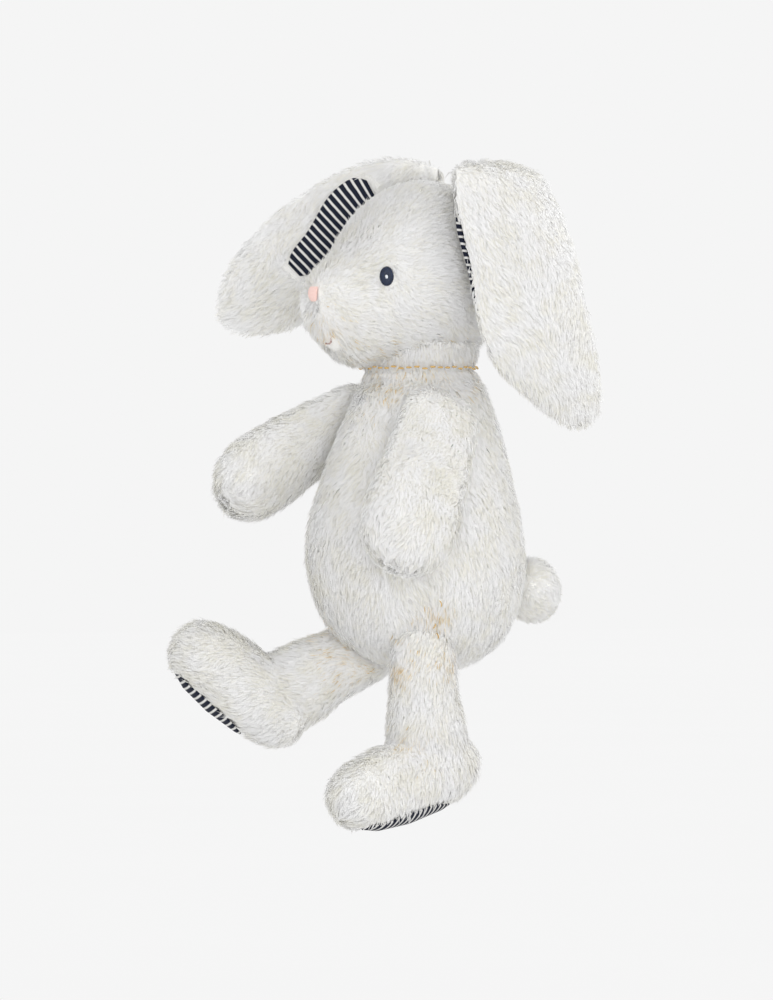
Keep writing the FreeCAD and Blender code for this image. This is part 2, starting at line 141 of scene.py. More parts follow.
class Shader:
    """One material and the nodes in it."""

    def __init__(self, name: str) -> None:
        """Start an empty material with its output."""
        self.material = bpy.data.materials.new(name)
        self.material.use_nodes = True
        self.tree = self.material.node_tree
        self.tree.nodes.clear()
        self.output = self.tree.nodes.new("ShaderNodeOutputMaterial")
        self.body: bpy.types.Node | None = None

    def add(self, kind: str, settings: dict | None = None,
            inputs: dict | None = None) -> bpy.types.Node:
        """Add a node.

        Args:
            kind: the node's type.
            settings: properties to set before its inputs.
            inputs: what goes into each socket, a number, a colour or another value.

        Returns:
            The node.
        """
        node = self.tree.nodes.new(kind)
        for key, value in (settings or {}).items():
            setattr(node, key, value)
        for key, value in (inputs or {}).items():
            if isinstance(value, Value):
                self.tree.links.new(value.socket, node.inputs[key])
            elif isinstance(value, bpy.types.NodeSocket):
                self.tree.links.new(value, node.inputs[key])
            else:
                node.inputs[key].default_value = value
        return node

    def noise(self, scale: float, detail: float = 2.0) -> Value:
        """Even noise through the object, scale in cells for each metre."""
        place = self.add("ShaderNodeTexCoord").outputs["Object"]
        node = self.add("ShaderNodeTexNoise", {},
                        {"Vector": place, "Scale": scale, "Detail": detail})
        return Value(self, node.outputs[0])

    def attribute(self, name: str) -> Value:
        """A number stored on the mesh."""
        return Value(self, self.add("ShaderNodeAttribute", {"attribute_name": name}).outputs["Fac"])

    def mix(self, share: Value, first: tuple, second: tuple) -> bpy.types.NodeSocket:
        """Blend two colours."""
        node = self.add("ShaderNodeMix", {"data_type": "RGBA"}, {0: share, 6: first, 7: second})
        return node.outputs[2]

    def bump(self, height: Value, distance: float, strength: float) -> bpy.types.NodeSocket:
        """Relief from a height."""
        return self.add("ShaderNodeBump", {}, {"Height": height, "Distance": distance,
                                               "Strength": strength}).outputs[0]

    def surface(self, inputs: dict) -> bpy.types.Material:
        """Finish the material with one Principled shader."""
        self.body = self.add("ShaderNodeBsdfPrincipled", {}, inputs)
        self.tree.links.new(self.body.outputs[0], self.output.inputs[0])
        return self.material

    def thin(self, colour: bpy.types.NodeSocket, share: float) -> bpy.types.Material:
        """Let a share of the light through the finished surface."""
        passed = self.add("ShaderNodeBsdfTranslucent", {}, {"Color": colour})
        both = self.add("ShaderNodeMixShader", {}, {0: share, 1: self.body.outputs[0],
                                                    2: passed.outputs[0]})
        self.tree.links.new(both.outputs[0], self.output.inputs[0])
        return self.material


# ---------------------------------------------------------------- finishes

class Tone(Enum):
    """Colours of single strands of the pile."""

    BRIGHT = "FEFEFE"
    CREAM = "FCFBF7"
    SOFT = "F9F8F2"
    # the straw and tan tones are painted warm shade, picked only near the crease shades
    STRAW = "F3E8D2"
    TAN = "E8D2A8"


@dataclass(frozen=True)
class StrandFinish:
    """Matt fibres, one tone for each strand, that let light through from behind."""

    roughness: float = 0.85
    sheen: float = 0.25
    passed: float = 0.5

    def materials(self) -> list[bpy.types.Material]:
        """Make one material for each tone."""
        made = []
        for tone in Tone:
            shader = Shader("pile_" + tone.name.lower())
            patches = shader.noise(90.0)
            colour = shader.mix(patches.step(0.35, 0.3), linear(tone.value),
                                linear(Tone.BRIGHT.value))
            shader.surface({
                "Base Color": colour, "Roughness": self.roughness + patches * 0.1,
                "Specular IOR Level": 0.1, "Sheen Weight": self.sheen, "Sheen Roughness": 0.5})
            made.append(shader.thin(colour, self.passed))
        return made


@dataclass(frozen=True)
class BackingFinish:
    """Knitted ground of the plush under its pile."""

    light: str = "FCFBF9"
    dark: str = "F5F4F0"

    def material(self) -> bpy.types.Material:
        """Make the material."""
        shader = Shader("plush_backing")
        patches = shader.noise(70.0)
        fibres = shader.noise(1400.0, 3.0)
        colour = shader.mix((patches * 0.6 + fibres * 0.5).step(0.3, 0.5),
                            linear(self.dark), linear(self.light))
        return shader.surface({"Base Color": colour, "Roughness": 0.9 + fibres * 0.08,
                               "Specular IOR Level": 0.2, "Sheen Weight": 0.2,
                               "Normal": shader.bump(fibres, 0.0008, 0.6)})


@dataclass(frozen=True)
class StripeFinish:
    """Woven cotton with narrow stripes across its length."""

    pitch: float = 3.5
    dark_share: float = 0.6
    navy: str = "161B2C"
    white: str = "DEDDDA"

    def material(self) -> bpy.types.Material:
        """Make the material."""
        shader = Shader("striped_cotton")
        along = shader.attribute("along")
        across = shader.attribute("across")
        wander = shader.noise(160.0) * 0.16
        place = (along / self.pitch + wander).fraction()
        light = place.step(self.dark_share, 0.07) * (1.0 - place.step(0.94, 0.06))
        weave = (along * 9.0).sine() * (across * 9.0).sine()
        colour = shader.mix(light * (0.92 + weave * 0.08), linear(self.navy), linear(self.white))
        return shader.surface({"Base Color": colour, "Roughness": 0.86 + weave * 0.04,
                               "Specular IOR Level": 0.25,
                               "Normal": shader.bump(weave, 0.0001, 0.5)})


@dataclass(frozen=True)
class ThreadFinish:
    """Embroidery or sewing thread."""

    name: str
    colour: str
    shade: str
    roughness: float = 0.55

    def material(self) -> bpy.types.Material:
        """Make the material."""
        shader = Shader(self.name)
        twist = shader.noise(2600.0, 2.0)
        colour = shader.mix(twist.step(0.35, 0.3), linear(self.shade), linear(self.colour))
        return shader.surface({"Base Color": colour, "Roughness": self.roughness + twist * 0.15,
                               "Normal": shader.bump(twist, 0.0001, 0.4)})


@dataclass(frozen=True)
class FillFinish:
    """Loose white polyester fibre."""

    light: str = "F7F7F7"
    dark: str = "DADADA"

    def material(self) -> bpy.types.Material:
        """Make the material."""
        shader = Shader("polyester_fill")
        tufts = shader.noise(240.0, 5.0)
        colour = shader.mix(tufts.step(0.3, 0.4), linear(self.dark), linear(self.light))
        return shader.surface({"Base Color": colour, "Roughness": 0.9 + tufts * 0.08,
                               "Normal": shader.bump(tufts, 0.002, 0.8)})


@dataclass
class Finishes:
    """Every material of the toy, made once."""

    backing: bpy.types.Material
    strands: list[bpy.types.Material]
    stripes: bpy.types.Material
    fill: bpy.types.Material
    navy: bpy.types.Material
    white: bpy.types.Material
    pink: bpy.types.Material
    rose: bpy.types.Material
    gold: bpy.types.Material

    @classmethod
    def make(cls) -> "Finishes":
        """Make them all."""
        return cls(
            BackingFinish().material(), StrandFinish().materials(), StripeFinish().material(),
            FillFinish().material(),
            ThreadFinish("navy_thread", "14284A", "070F20", 0.4).material(),
            ThreadFinish("white_thread", "F4F6FA", "D5DAE2", 0.4).material(),
            ThreadFinish("pink_thread", "F8DDD6", "F0CCC3", 0.8).material(),
            ThreadFinish("rose_thread", "C9AFA8", "A98880").material(),
            ThreadFinish("gold_thread", "DDBB7A", "BF9A58").material())


# ---------------------------------------------------------------- meshes

@dataclass
class Surface:
    """Points in millimetres about the trunk's axis, and the faces between them."""

    points: np.ndarray
    faces: list[tuple[int, ...]]

    def outward(self) -> "Surface":
        """The same closed surface with every face turned outward."""
        middle = self.points.mean(0)
        quads = np.array([face for face in self.faces if len(face) == 4])
        corners = self.points[quads] - middle
        normals = np.cross(corners[:, 2] - corners[:, 0], corners[:, 3] - corners[:, 1])
        if (normals * corners[:, 0]).sum() > 0:
            return self
        return Surface(self.points, [face[::-1] for face in self.faces])

    def joined(self, other: "Surface") -> "Surface":
        """Both surfaces as one."""
        start = len(self.points)
        moved = [tuple(i + start for i in face) for face in other.faces]
        return Surface(np.vstack([self.points, other.points]), self.faces + moved)

    def build(self, name: str, materials: Sequence[bpy.types.Material], smooth: bool = True,
              values: dict[str, np.ndarray] | None = None) -> bpy.types.Object:
        """Write the surface as an object.

        Args:
            name: the object's name.
            materials: its material slots.
            smooth: whether its shading is smooth.
            values: numbers for each point, by attribute name.

        Returns:
            The object, in the toy's frame.
        """
        mesh = bpy.data.meshes.new(name)
        mesh.from_pydata(((self.points + SHIFT) * MM).tolist(), [], self.faces)
        for attribute, numbers in (values or {}).items():
            layer = mesh.attributes.new(attribute, "FLOAT", "POINT")
            layer.data.foreach_set("value", np.asarray(numbers, np.float32))
        for material in materials:
            mesh.materials.append(material)
        mesh.polygons.foreach_set("use_smooth", [smooth] * len(mesh.polygons))
        item = bpy.data.objects.new(name, mesh)
        bpy.context.scene.collection.objects.link(item)
        return item


def grid_faces(rows: int, columns: int, closed: bool) -> list[tuple[int, ...]]:
    """Faces between rows of points.

    Args:
        rows: how many rows.
        columns: points in each row.
        closed: whether each row closes on itself.

    Returns:
        The four-sided faces.
    """
    faces = []
    for row in range(rows - 1):
        for column in range(columns if closed else columns - 1):
            after = (column + 1) % columns
            faces.append((row * columns + column, row * columns + after,
                          (row + 1) * columns + after, (row + 1) * columns + column))
    return faces


def through(values: np.ndarray, steps: int) -> np.ndarray:
    """Smooth curve through rows of values.

    Args:
        values: one row for each station.
        steps: pieces between neighbouring stations.

    Returns:
        The finer rows.
    """
    padded = np.vstack([2 * values[0] - values[1], values, 2 * values[-1] - values[-2]])
    rows = []
    for i in range(1, len(padded) - 2):
        before, start, end, after = padded[i - 1:i + 3]
        for k in range(steps):
            t = k / steps
            rows.append(0.5 * (2 * start + (end - before) * t
                               + (2 * before - 5 * start + 4 * end - after) * t ** 2
                               + (3 * start - before - 3 * end + after) * t ** 3))
    rows.append(values[-1])
    return np.array(rows)


class Form:
    """A soft form: a smooth skin through elliptical rings, with rounded ends."""

    def __init__(self, middles: np.ndarray, long_ways: np.ndarray, short_ways: np.ndarray,
                 halves: np.ndarray) -> None:
        """Hold the rings: middles, the two directions of each, and its half sizes."""
        self.middles = middles
        self.long_ways = long_ways
        self.short_ways = short_ways
        self.halves = halves

    @classmethod
    def plain(cls, table: Sequence[tuple[float, float, float, float]], axes: str,
              origin: Sequence[float] = (0.0, 0.0, 0.0), turn: np.ndarray | None = None) -> "Form":
        """A form whose rings stand square to one axis.

        Args:
            table: station, long half, short half and offset of each ring.
            axes: which axes run along, long way, short way and in the offset's direction.
            origin: where the form's own origin goes.
            turn: how the form is turned.

        Returns:
            The form.
        """
        along, long_way, short_way, offset = (np.eye(3)["xyz".index(a)] for a in axes)
        rows = np.array(table)
        turn = np.eye(3) if turn is None else turn
        middles = (np.outer(rows[:, 0], along) + np.outer(rows[:, 3], offset)) @ turn.T + origin
        count = len(rows)
        return cls(middles, np.tile(turn @ long_way, (count, 1)),
                   np.tile(turn @ short_way, (count, 1)), rows[:, 1:3])

    def fine(self, steps: int) -> tuple[np.ndarray, np.ndarray, np.ndarray, np.ndarray]:
        """Middles, directions and half sizes, steps times as close together."""
        return (through(self.middles, steps), unit(through(self.long_ways, steps)),
                unit(through(self.short_ways, steps)), np.maximum(through(self.halves, steps), 0.5))

    def skin(self, inset: float = 0.0, steps: int = 5, around: int = 48) -> Surface:
        """The closed surface.

        Args:
            inset: how far it is drawn in from the form's outside.
            steps: pieces between rings.
            around: points round each ring.

        Returns:
            The surface.
        """
        middles, long_ways, short_ways, halves = self.fine(steps)
        halves = np.maximum(halves - inset, 0.4)
        rings = []
        turn = np.linspace(0, 2 * math.pi, around, endpoint=False)[:, None]
        stations = [(middles[i], long_ways[i], short_ways[i], halves[i])
                    for i in range(len(middles))]
        for end, beside in ((0, 1), (-1, -2)):
            outward = unit(middles[end] - middles[beside])
            height = 0.28 * halves[end].min()
            cap = [(middles[end] + outward * (height * rise - inset), long_ways[end],
                    short_ways[end], halves[end] * share)
                   for rise, share in ((0.55, 0.8), (0.9, 0.45))]
            pole = (middles[end] + outward * (height - inset), long_ways[end], short_ways[end],
                    halves[end] * 0.02)
            extra = cap + [pole]
            stations = extra[::-1] + stations if end == 0 else stations + extra
        for middle, long_way, short_way, half in stations:
            rings.append(middle + np.cos(turn) * long_way * half[0]
                         + np.sin(turn) * short_way * half[1])
        points = np.vstack(rings)
        faces = grid_faces(len(rings), around, True)
        faces.append(tuple(range(around))[::-1])
        faces.append(tuple(range(len(points) - around, len(points))))
        return Surface(points, faces).outward()


def merged(name: str, surfaces: Sequence[Surface], pitch: float,
           materials: Sequence[bpy.types.Material]) -> bpy.types.Object:
    """One skin round overlapping forms.

    Args:
        name: the object's name.
        surfaces: the closed forms.
        pitch: size of the cells that it is rebuilt from, in millimetres.
        materials: its material slots.

    Returns:
        The object.
    """
    whole = surfaces[0]
    for other in surfaces[1:]:
        whole = whole.joined(other)
    rough = whole.build(name + "_forms", [])
    remesh = rough.modifiers.new("merge", "REMESH")
    remesh.mode = "VOXEL"
    remesh.voxel_size = pitch * MM
    smooth = rough.modifiers.new("soften", "SMOOTH")
    smooth.iterations = 30
    bpy.context.view_layer.update()
    graph = bpy.context.evaluated_depsgraph_get()
    mesh = bpy.data.meshes.new_from_object(rough.evaluated_get(graph))
    mesh.name = name
    bpy.data.objects.remove(rough)
    mesh.materials.clear()
    for material in materials:
        mesh.materials.append(material)
    mesh.polygons.foreach_set("use_smooth", [True] * len(mesh.polygons))
    item = bpy.data.objects.new(name, mesh)
    bpy.context.scene.collection.objects.link(item)
    return item


# ---------------------------------------------------------------- pile

@dataclass(frozen=True)
class CreaseShade:
    """A place where warm painted shade is tinted into the pile, in a crease between parts or along
    a seam.
    """

    place: tuple[float, float, float]
    reach: float
    strength: float


@dataclass(frozen=True)
class Flow:
    """Which way a pile lies: along one direction, and away from one point."""

    along: tuple[float, float, float]
    source: tuple[float, float, float] = (0.0, 0.0, 0.0)
    away: float = 0.0

    def at(self, points: np.ndarray) -> np.ndarray:
        """Direction at each point."""
        spread = unit(points - np.array(self.source)) * self.away
        return unit(np.array(self.along) + spread)


@dataclass(frozen=True)
class Pile:
    """Tapered fibres that stand out from a skin and lean together in small tufts."""

    seed: int
    flow: Flow
    density: float = 2.0
    rise: float = 2.7
    reach: float = 5.0
    width: float = 0.72
    tuft: float = 2.4
    pull: float = 0.3
    bend_rise: float = 0.7
    bend_reach: float = 0.42
    crease_shades: tuple[CreaseShade, ...] = ()

    def grow(self, name: str, skin: bpy.types.Object, strands: list[bpy.types.Material],
             bare: np.ndarray | None = None, bare_reach: float = 0.0) -> bpy.types.Object:
        """Grow the pile on a skin.

        Args:
            name: the pile's name.
            skin: what it grows on.
            strands: a material for each tone.
            bare: points round which nothing grows, in millimetres.
            bare_reach: how far from them nothing grows.

        Returns:
            The pile as one mesh.
        """
        rng = np.random.default_rng(self.seed)
        roots, normals = scatter(skin, self.density, rng)
        flow = self.flow.at(roots)
        swirl = wave(roots, 0.11, rng) * 0.55 + wave(roots, 0.4, rng) * 0.3
        flow = flow + swirl
        flow = unit(flow - normals * (flow * normals).sum(1, keepdims=True))
        long_share = np.where(rng.random(len(roots)) < 0.1, 1.35, 1.0)
        length = (rng.uniform(0.72, 1.15, len(roots)) * long_share)[:, None]
        lean = rng.normal(0, 0.22, (len(roots), 3))
        tips = roots + (normals * self.rise + flow * self.reach) * length + lean
        middles = roots + (normals * self.rise * self.bend_rise
                           + flow * self.reach * self.bend_reach) * length
        tips, middles = self.gather(roots, tips, middles, rng)
        alive = np.ones(len(roots), bool)
        if bare is not None:
            alive = far_from(bare, roots, bare_reach) & far_from(bare, tips, bare_reach * 0.92)
        roots, normals, flow = roots[alive], normals[alive], flow[alive]
        tips, middles = tips[alive], middles[alive]
        side = unit(np.cross(flow, normals) + rng.normal(0, 0.3, roots.shape))
        half = self.width * 0.5 * rng.uniform(0.75, 1.25, (len(roots), 1))
        points = np.stack([roots, middles + side * half, middles - side * half, tips],
                          1).reshape(-1, 3)
        shade = unit(normals + flow * 0.15 + rng.normal(0, 0.05, normals.shape))
        tones = self.tones(roots, rng)
        return ribbons(name, points, np.repeat(shade, 4, 0), tones, strands)

    def gather(self, roots: np.ndarray, tips: np.ndarray, middles: np.ndarray,
               rng: np.random.Generator) -> tuple[np.ndarray, np.ndarray]:
        """Draw the strands of each tuft together.

        Args:
            roots: where the strands start.
            tips: where they end.
            middles: where they bend.
            rng: the pile's own random numbers.

        Returns:
            The tips and the bends, drawn together.
        """
        count = max(2, int(len(roots) / (self.density * self.tuft ** 2)))
        leaders = rng.choice(len(roots), min(count, len(roots)), replace=False)
        tree = kdtree.KDTree(len(leaders))
        for number, leader in enumerate(leaders):
            tree.insert(roots[leader], number)
        tree.balance()
        own = leaders[np.array([tree.find(root)[1] for root in roots.tolist()])]
        share = self.pull * rng.uniform(0.6, 1.2, (len(roots), 1))
        drawn = (tips[own] - tips) * np.minimum(share, 0.92)
        return tips + drawn, middles + drawn * 0.3

    def tones(self, roots: np.ndarray, rng: np.random.Generator) -> np.ndarray:
        """Pick each strand's tone, with painted warm shade (straw and tan strands) near the crease
        shades.
        """
        chance = rng.random(len(roots)) + wave(roots, 0.09, rng)[:, 0] * 0.25
        tone = np.select([chance < 0.45, chance < 0.85], [0, 1], 2)
        for shade_spot in self.crease_shades:
            distance = np.linalg.norm(roots - np.array(shade_spot.place), axis=1) / shade_spot.reach
            shade_chance = shade_spot.strength * np.exp(-distance ** 2)
            pick = rng.random(len(roots))
            tone = np.where(pick < shade_chance * 0.45, 4, np.where(pick < shade_chance, 3, tone))
        return tone


def wave(points: np.ndarray, pace: float, rng: np.random.Generator) -> np.ndarray:
    """Smooth random directions that change from place to place."""
    total = np.zeros_like(points)
    for _ in range(3):
        direction = rng.normal(0, 1, (3, 3)) * pace
        total += np.sin(points @ direction + rng.uniform(0, 6.3, 3))
    return total / 3.0


def far_from(centres: np.ndarray, points: np.ndarray, reach: float) -> np.ndarray:
    """Which points are farther than reach from every centre."""
    tree = kdtree.KDTree(len(centres))
    for number, centre in enumerate(centres.tolist()):
        tree.insert(centre, number)
    tree.balance()
    return np.array([tree.find(point)[2] > reach for point in points.tolist()])


def scatter(skin: bpy.types.Object, density: float,
            rng: np.random.Generator) -> tuple[np.ndarray, np.ndarray]:
    """Random points spread evenly over a skin.

    Args:
        skin: the object.
        density: points for each square millimetre.
        rng: random numbers.

    Returns:
        The points in millimetres and the outward directions there.
    """
    mesh = skin.data
    mesh.calc_loop_triangles()
    corners = np.empty(len(mesh.loop_triangles) * 3, np.int64)
    mesh.loop_triangles.foreach_get("vertices", corners)
    corners = corners.reshape(-1, 3)
    places = np.empty(len(mesh.vertices) * 3)
    mesh.vertices.foreach_get("co", places)
    places = places.reshape(-1, 3) / MM - SHIFT
    outward = np.empty(len(mesh.vertices) * 3)
    mesh.vertices.foreach_get("normal", outward)
    outward = outward.reshape(-1, 3)
    a, b, c = (places[corners[:, k]] for k in range(3))
    areas = np.linalg.norm(np.cross(b - a, c - a), axis=1) / 2
    total = areas.cumsum()
    picks = np.searchsorted(total, rng.random(int(total[-1] * density)) * total[-1])
    picks = np.minimum(picks, len(corners) - 1)
    u, v = rng.random((2, len(picks)))
    flip = u + v > 1
    u, v = np.where(flip, 1 - u, u)[:, None], np.where(flip, 1 - v, v)[:, None]
    points = a[picks] * (1 - u - v) + b[picks] * u + c[picks] * v
    turned = [outward[corners[picks, k]] for k in range(3)]
    return points, unit(turned[0] * (1 - u - v) + turned[1] * u + turned[2] * v)


def ribbons(name: str, points: np.ndarray, shade: np.ndarray, tones: np.ndarray,
            strands: list[bpy.types.Material]) -> bpy.types.Object:
    """Write strands of four points each as one mesh.

    Args:
        name: the object's name.
        points: root, both sides of the bend and tip of each strand, in millimetres.
        shade: the direction that each point is lit from.
        tones: each strand's material number.
        strands: the materials.

    Returns:
        The object.
    """
    count = len(tones)
    mesh = bpy.data.meshes.new(name)
    mesh.vertices.add(len(points))
    mesh.vertices.foreach_set("co", ((points + SHIFT) * MM).astype(np.float32).ravel())
    pattern = np.array([0, 1, 2, 2, 1, 3])
    corners = (np.arange(count)[:, None] * 4 + pattern).ravel()
    mesh.loops.add(len(corners))
    mesh.loops.foreach_set("vertex_index", corners.astype(np.int32))
    mesh.polygons.add(count * 2)
    starts = np.arange(count * 2) * 3
    mesh.polygons.foreach_set("loop_start", starts.astype(np.int32))
    for material in strands:
        mesh.materials.append(material)
    mesh.polygons.foreach_set("material_index", np.repeat(tones, 2).astype(np.int32))
    mesh.polygons.foreach_set("use_smooth", np.ones(count * 2, bool))
    mesh.update(calc_edges=True)
    mesh.validate()
    mesh.normals_split_custom_set_from_vertices(shade.astype(np.float32).tolist())
    item = bpy.data.objects.new(name, mesh)
    bpy.context.scene.collection.objects.link(item)
    return item


# ---------------------------------------------------------------- cloth and thread

@dataclass
class Patch:
    """A sheet of cloth laid on a form: rows of points along its length."""

    rows: np.ndarray
    outward: np.ndarray
    thick: float = 0.8

    def surface(self) -> Surface:
        """Both faces of the cloth and its cut edge."""
        count, columns = self.rows.shape[:2]
        top = (self.rows + self.outward * self.thick / 2).reshape(-1, 3)
        under = (self.rows - self.outward * self.thick / 2).reshape(-1, 3)
        start = count * columns
        upper = grid_faces(count, columns, False)
        lower = [tuple(i + start for i in face[::-1]) for face in upper]
        rim = ([(0, c) for c in range(columns)] + [(r, columns - 1) for r in range(1, count)]
               + [(count - 1, c) for c in range(columns - 2, -1, -1)]
               + [(r, 0) for r in range(count - 2, 0, -1)])
        ring = [r * columns + c for r, c in rim]
        edge = [(ring[i], ring[i - 1], ring[i - 1] + start, ring[i] + start)
                for i in range(len(ring))]
        return Surface(np.vstack([top, under]), upper + lower + edge)

    def measures(self) -> dict[str, np.ndarray]:
        """How far each point lies along and across the cloth, in millimetres."""
        middle = self.rows[:, self.rows.shape[1] // 2]
        run = np.concatenate([[0.0], np.cumsum(np.linalg.norm(np.diff(middle, axis=0), axis=1))])
        steps = np.linalg.norm(np.diff(self.rows, axis=1), axis=2).mean(0)
        width = np.concatenate([[0.0], np.cumsum(steps)])
        count, columns = self.rows.shape[:2]
        along = np.repeat(run[:, None], columns, 1).ravel()
        across = np.repeat(width[None, :], count, 0).ravel()
        return {"along": np.tile(along, 2), "across": np.tile(across, 2)}

    def build(self, name: str, material: bpy.types.Material, rests_on: str) -> bpy.types.Object:
        """Args:
            name: the object's name.
            material: its finish.
            rests_on: not used.

        Returns:
            The object.
        """
        item = self.surface().build(name, [material], True, self.measures())
        return item


def stitches(paths: Sequence[np.ndarray], radius: float, sides: int = 6) -> Surface:
    """Round strands of thread along paths.

    Args:
        paths: points of each strand.
        radius: half the strand's thickness.
        sides: how many sides each strand has.

    Returns:
        The surface.
    """
    whole = None
    for path in paths:
        run = unit(np.gradient(path, axis=0))
        helper = np.array([0.31, 0.17, 0.93])
        side = unit(np.cross(run, helper))
        rise = np.cross(side, run)
        share = np.sqrt(np.clip(1 - np.linspace(-1, 1, len(path)) ** 8, 0.12, 1))[:, None, None]
        turn = np.linspace(0, 2 * math.pi, sides, endpoint=False)[None, :, None]
        ring = path[:, None] + radius * share * (np.cos(turn) * side[:, None]
                                                 + np.sin(turn) * rise[:, None])
        faces = grid_faces(len(path), sides, True)
        faces.append(tuple(range(sides))[::-1])
        faces.append(tuple(range((len(path) - 1) * sides, len(path) * sides)))
        tube = Surface(ring.reshape(-1, 3), faces)
        whole = tube if whole is None else whole.joined(tube)
    return whole


def place_piece(item: bpy.types.Object, body: str, slot: str, *nodes: str) -> None:
    """Fasten a piece to its body, hide the CAD nodes it stands for and log its face count."""
    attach(item, body)
    if nodes:
        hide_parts(*nodes)
    log.info("%s: %d faces on %s", item.name, len(item.data.polygons), body)


def make_fill(name: str, surface: Surface, body: str, node: str, finishes: Finishes) -> None:
    """Lumpy loose fill in a skin."""
    rng = np.random.default_rng(len(name))
    lumps = wave(surface.points, 0.16, rng) * 0.9
    item = Surface(surface.points + lumps, surface.faces).build(name, [finishes.fill])
    place_piece(item, body, "fill", node)


# ---------------------------------------------------------------- sub-assemblies

BACKING_INSET = 2.4
FILL_INSET = 6.5


@dataclass
class Trunk:
    """Pear-shaped body."""

    table: tuple = ((83.5, 21.0, 19.5, 7.0), (88.5, 31.5, 30.0, 5.5), (96.0, 41.5, 40.0, 3.5),
                    (106.0, 48.5, 46.5, 2.0), (120.0, 53.5, 51.5, 1.0), (137.0, 55.5, 53.0, 0.0),
                    (155.0, 53.5, 50.5, 0.0), (175.0, 48.5, 45.0, 1.0), (195.0, 42.5, 38.5, 2.5),
                    (210.0, 37.0, 32.5, 3.5), (221.0, 31.0, 29.0, 4.0), (227.0, 21.0, 20.0, 4.0))

    def build(self, finishes: Finishes) -> None:
        """Build the skin, its pile and its fill."""
        form = Form.plain(self.table, "zyxy")
        skin = form.skin(BACKING_INSET).build("trunk_skin", [finishes.backing])
        place_piece(skin, "trunk", "plush", "trunk_plush")
        # painted warm shade in the creases at the hips, the shoulder and the neck
        crease_shades = (CreaseShade((30.0, -12.0, 92.0), 9.0, 0.5), CreaseShade((-28.0, -42.0, 100.0), 10.0, 0.5),
                  CreaseShade((38.0, -30.0, 226.0), 9.0, 0.3), CreaseShade((45.0, -15.0, 106.0), 7.0, 0.5),
                  CreaseShade((33.0, 8.0, 228.0), 11.0, 0.4), CreaseShade((20.0, -25.0, 228.0), 12.0, 0.5))
        pile = Pile(11, Flow((0.0, 0.0, -1.0)), crease_shades=crease_shades)
        place_piece(pile.grow("trunk_pile", skin, finishes.strands), "trunk", "plush")
        make_fill("trunk_fill", form.skin(FILL_INSET), "trunk", "trunk_stuffing", finishes)
        self.sew(form, finishes)

    def sew(self, form: Form, finishes: Finishes) -> None:
        """Short ends of sewing thread left in the flank."""
        spots = ((46.0, -14.0, 113.0), (41.5, -15.0, 102.0), (38.5, -11.5, 97.0))
        paths = []
        for number, (x, y, z) in enumerate(spots):
            t = np.linspace(-1, 1, 7)[:, None]
            lean = np.array([0.0, 0.6, 1.2]) if number % 2 else np.array([0.0, -0.5, 1.6])
            bow = np.array([1.2, 0.0, 0.0]) * (1 - t ** 2)
            paths.append(np.array([x + 3.0, y, z]) + lean * t + bow)
        item = stitches(paths, 0.3).build("flank_thread", [finishes.gold])
        place_piece(item, "trunk", "sewing_thread")


@dataclass
class Neck:
    """Collar of plush across the neck, with its line of sewing thread."""

    table: tuple = ((213.0, 34.5, 31.0, 3.5), (220.0, 31.5, 29.5, 4.0), (227.0, 29.0, 28.0, 3.0),
                    (230.5, 28.0, 27.5, 2.0), (236.0, 31.0, 29.5, 1.0), (243.0, 33.5, 31.0, 0.0))
    seam_height: float = 230.5
    stitch_count: int = 46

    def build(self, finishes: Finishes) -> None:
        """Build the collar, its pile and the stitches."""
        form = Form.plain(self.table, "zyxy")
        skin = form.skin(BACKING_INSET).build("neck_skin", [finishes.backing])
        # the pile is tinted with painted warm shade in the crease along the neck seam
        pile = Pile(23, Flow((0.0, 0.0, -1.0)), rise=2.6, reach=3.6,
                    crease_shades=tuple(CreaseShade((29 * math.cos(a), 2 + 29 * math.sin(a), 230.0), 7.0, 0.22)
                                 for a in np.linspace(0, 2 * math.pi, 14, endpoint=False)))
        hair = pile.grow("neck_pile", skin, finishes.strands)
        for item in (skin, hair):
            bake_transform(item)
        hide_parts("neck_stuffing")
        paths = []
        for number in range(self.stitch_count):
            angle = (number + np.linspace(-0.36, 0.36, 6)) * 2 * math.pi / self.stitch_count
            dip = 0.5 * math.sin(number * 2.3)
            lift = 0.5 * (1 - np.linspace(-1, 1, 6) ** 2)
            paths.append(np.stack([(28.8 + lift) * np.cos(angle), 2 + (29.3 + lift) * np.sin(angle),
                                   np.full(6, self.seam_height + dip)], 1))
        thread = stitches(paths, 0.5).build("neck_stitches", [finishes.gold])
        place_piece(thread, "trunk", "sewing_thread", "neck_thread")


